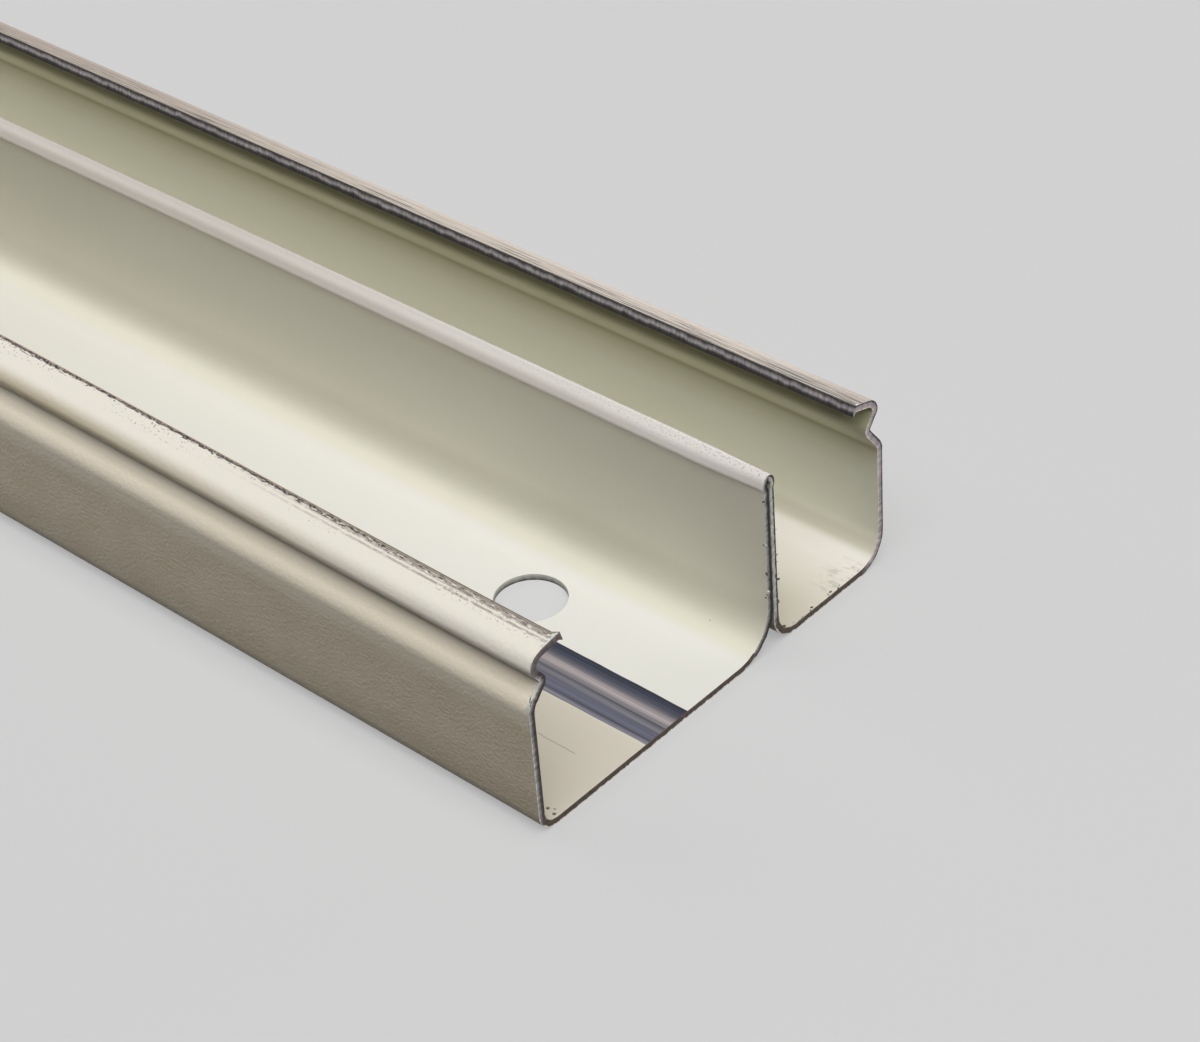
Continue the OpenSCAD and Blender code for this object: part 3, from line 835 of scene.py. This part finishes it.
# %% Tree: chips of paint and curls of burr along the sawn edges
# Each end has two sets with their own seeds. A chip sits on the inner side of the sheet or just off it
CHIP_DEPTH = (0.9, 1.2)
CHIP_SET_BACK = 0.35 * MM
CHIP_SCALE = (0.4, 1.0)
FULL_TURN = 6.28
bare_line = add(roll, "GeometryNodeMeshToCurve", {"Mesh": given["Section"]})
bare_line = add(roll, "GeometryNodeResampleCurve", {"Curve": bare_line, "Length": given["Chip Spacing"]},
                mode="LENGTH")
chip_share = add(roll, "GeometryNodeInputNamedAttribute", {"Name": "chips"}, data_type="FLOAT")
parts = add(roll, "GeometryNodeJoinGeometry", {"Geometry": dressed})
for seed, end, material in ((1, 1, paint_chip), (2, 1, steel_burr), (3, -1, paint_chip), (4, -1, steel_burr)):
    through = add(roll, "FunctionNodeRandomValue", {2: CHIP_DEPTH[0], 3: CHIP_DEPTH[1], "Seed": seed},
                  data_type="FLOAT")
    through = product(roll, through, given["Sheet"])
    through = add(roll, "ShaderNodeVectorMath", {0: side, "Scale": through}, operation="SCALE")
    end_x = add(roll, "FunctionNodeRandomValue", {2: -CHIP_SET_BACK, 3: 0.0, "Seed": 40 + seed},
                data_type="FLOAT")
    end_x = add(roll, "ShaderNodeMath", {0: half_length, 1: end_x}, operation="ADD")
    end_place = add(roll, "ShaderNodeCombineXYZ", {"X": product(roll, end_x, end)})
    spot = add(roll, "ShaderNodeVectorMath", {0: through, 1: end_place}, operation="ADD")
    spots = add(roll, "GeometryNodeSetPosition", {"Geometry": bare_line, "Offset": spot})
    torn_here = add(roll, "FunctionNodeRandomValue", {"Probability": chip_share, "Seed": 10 + seed},
                    data_type="BOOLEAN")
    size = add(roll, "FunctionNodeRandomValue", {2: CHIP_SCALE[0], 3: CHIP_SCALE[1], "Seed": 20 + seed},
               data_type="FLOAT")
    size = add(roll, "ShaderNodeVectorMath", {0: given["Chip Size"], "Scale": size}, operation="SCALE")
    turn = add(roll, "FunctionNodeRandomValue", {0: (0, 0, 0), 1: (FULL_TURN,) * 3, "Seed": 30 + seed},
               data_type="FLOAT_VECTOR")
    chip = add(roll, "GeometryNodeMeshIcoSphere", {"Radius": 1.0, "Subdivisions": 1})
    chip = add(roll, "GeometryNodeSetMaterial", {"Geometry": chip, "Material": material})
    chips = add(roll, "GeometryNodeInstanceOnPoints",
                {"Points": spots, "Selection": torn_here, "Instance": chip, "Rotation": turn, "Scale": size})
    fill(roll, parts, {0: add(roll, "GeometryNodeRealizeInstances", {"Geometry": chips})})
add(roll, "NodeGroupOutput", {"Geometry": parts})
print("whole tree:", len(roll.nodes), "nodes")

# %% Sizes given to the tree
screw_holes = [mount for mount in frame["record"]["mounts"] if mount["kind"] == "bolt_pattern"]
hole_xs = sorted(end * mount["dims"]["spacing_x_mm"] / 2 * MM for mount in screw_holes for end in (-1, 1))
hole_y = screw_holes[0]["pos_m"][1]
sizes = {
    "Stations": len(stations),
    "Rings": 81,
    "Length": length,
    "Sheet": sheet_t,
    "Hole Count": len(hole_xs),
    "Hole Radius": screw_holes[0]["dims"]["hole_r_mm"] * MM,
    "Hole Spacing": hole_xs[1] - hole_xs[0],
    "First Hole": (hole_xs[0], hole_y, 0),
    "Cut Raggedness": 0.16 * MM,
    "Wall Lean": 0.9 * MM,
    "Spring Length": 80 * MM,
    "Crown Squeeze": 0.22,
    "Crown Middle": divider_y,
    "Ear": (0.35 * MM, 0.2 * MM, 0.25 * MM),
    "Chip Spacing": 0.4 * MM,
    "Chip Size": (0.16 * MM, 0.05 * MM, 0.26 * MM),
}
print("screw holes at", [round(x / MM) for x in hole_xs], "mm along")


# %% Roll it
def make_piece(name, mesh, tree, values):
    """Runs the tree on the mesh and keeps the result as a plain mesh."""
    piece = bpy.data.objects.new(name, mesh)
    bpy.context.scene.collection.objects.link(piece)
    modifier = piece.modifiers.new("nodes", "NODES")
    modifier.node_group = tree
    for socket in tree.interface.items_tree:
        if socket.in_out == "INPUT" and socket.name in values:
            modifier[socket.identifier] = values[socket.name]
    depsgraph = bpy.context.evaluated_depsgraph_get()
    made = bpy.data.meshes.new_from_object(piece.evaluated_get(depsgraph), preserve_all_data_layers=True,
                                           depsgraph=depsgraph)
    piece.modifiers.clear()
    piece.data = made
    made.name = name
    empty_slots = [i for i, material in enumerate(made.materials) if material is None]
    for i in reversed(empty_slots):
        made.materials.pop(index=i)
    return piece


outline = bpy.data.meshes.new("section")
outline.from_pydata([(0, *point) for point, _, _ in stations],
                    [(i, i + 1) for i in range(len(stations) - 1)], [])
outline.attributes.new("side", "FLOAT_VECTOR", "POINT").data.foreach_set(
    "vector", [value for _, (y, z), _ in stations for value in (0, y, z)])
outline.attributes.new("across", "FLOAT", "POINT").data.foreach_set("value", [a for _, _, a in stations])
for name, values in shares.items():
    outline.attributes.new(name, "FLOAT", "POINT").data.foreach_set("value", values)
base = make_piece("raceway_sheet", outline, roll, sizes)
print("rolled sheet:", len(base.data.vertices), "points,", len(base.data.polygons), "faces,",
      [m.name for m in base.data.materials])

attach(base, "root")
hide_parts("raceway_base")

# %% [markdown]
# ## Floor, light and camera
# The floor is plain and pale. A white floor would bounce its light up into the channel, so this one is dark
# to the rays that carry light and glows a little to those that show it, which keeps it even from all sides.
# Three softboxes light the object: a large one beyond and above the photographed end, a small one over the
# length, and a low one behind, so that the back isn't dark. One lamp would do for one view, but not for all.


# %% Floor
def shown_rays(tree):
    """1 for rays from the camera, in gloss and through glass, and 0 for those that carry light."""
    rays = add(tree, "ShaderNodeLightPath").outputs
    shown = add(tree, "ShaderNodeMath", {0: rays["Is Camera Ray"], 1: rays["Is Glossy Ray"]},
                operation="MAXIMUM")
    return add(tree, "ShaderNodeMath", {0: shown, 1: rays["Is Transmission Ray"]}, operation="MAXIMUM")


FLOOR_GLOW = 0.38
floor_half, floor_drop = 8.0, 0.02 * MM
floor_material, tree, shader = new_material("pale_floor")
shown = shown_rays(tree)
fill(tree, shader, {
    "Base Color": coat(tree, "#161616", "#949494", shown),
    "Emission Color": linear("#FAFAFA"),
    "Emission Strength": product(tree, shown, FLOOR_GLOW),
    "Roughness": 0.8,
    "Specular IOR Level": 0.2,
})
corners = [(-1, -1), (1, -1), (1, 1), (-1, 1)]
floor_mesh = bpy.data.meshes.new("floor")
floor_mesh.from_pydata([(x * floor_half, y * floor_half, part_low.z - floor_drop) for x, y in corners],
                       [], [(0, 1, 2, 3)])
floor = bpy.data.objects.new("floor", floor_mesh)
bpy.context.scene.collection.objects.link(floor)
floor_mesh.materials.append(floor_material)
print("floor", 2 * floor_half, "m across")

# %% Light
WORLD_LIGHT, WORLD_SHOWN = 0.02, 0.85
scene = bpy.context.scene
scene.view_settings.view_transform = "Standard"
world = bpy.data.worlds.new("studio")
scene.world = world
world.use_nodes = True
strength = add(world.node_tree, "ShaderNodeMapRange",
               {"Value": shown_rays(world.node_tree), "To Min": WORLD_LIGHT, "To Max": WORLD_SHOWN})
fill(world.node_tree, world.node_tree.nodes["Background"], {"Color": (1, 1, 1, 1), "Strength": strength})

softboxes = {
    # place in m, tilt in degrees, size in m, watts
    "softbox_over_end": ((2.02, -0.6, 1.97), 0, (3.1, 2.1), 64.4),
    "softbox_over_length": ((-1.0, -0.35, 1.1), 0, (1.6, 1.1), 11.5),
    "softbox_behind": ((0, 3.5, 0.55), -81, (4, 1), 46),
}
for name, (lamp_place, tilt, lamp_size, watts) in softboxes.items():
    lamp = bpy.data.lights.new(name, "AREA")
    lamp.shape = "RECTANGLE"
    lamp.size, lamp.size_y = lamp_size
    lamp.energy = watts
    lamp_object = bpy.data.objects.new(name, lamp)
    lamp_object.location = lamp_place
    lamp_object.rotation_euler.x = math.radians(tilt)
    lamp_object.visible_camera = False
    scene.collection.objects.link(lamp_object)
print("lamps:", ", ".join(softboxes))

# %% Camera at the photograph's viewing angle
camera = bpy.data.cameras.new("camera")
camera.lens, camera.sensor_width = 89.45, 36
camera.sensor_fit = "HORIZONTAL"
camera.clip_start = 0.01
camera_object = bpy.data.objects.new("camera", camera)
camera_place = Vector((896.65, -150.75, 174.87)) * MM
heading, look_down, roll_angle = (math.radians(a) for a in (134.496, 37.465, -4.589))
aim = (Matrix.Rotation(heading - quarter, 4, "Z") @ Matrix.Rotation(quarter - look_down, 4, "X")
       @ Matrix.Rotation(roll_angle, 4, "Z"))
camera_object.matrix_world = Matrix.Translation(camera_place) @ aim
scene.collection.objects.link(camera_object)
scene.camera = camera_object
print("camera", round((camera_place - Vector((part_high.x, 0, 0))).length, 2), "m from the photographed end")
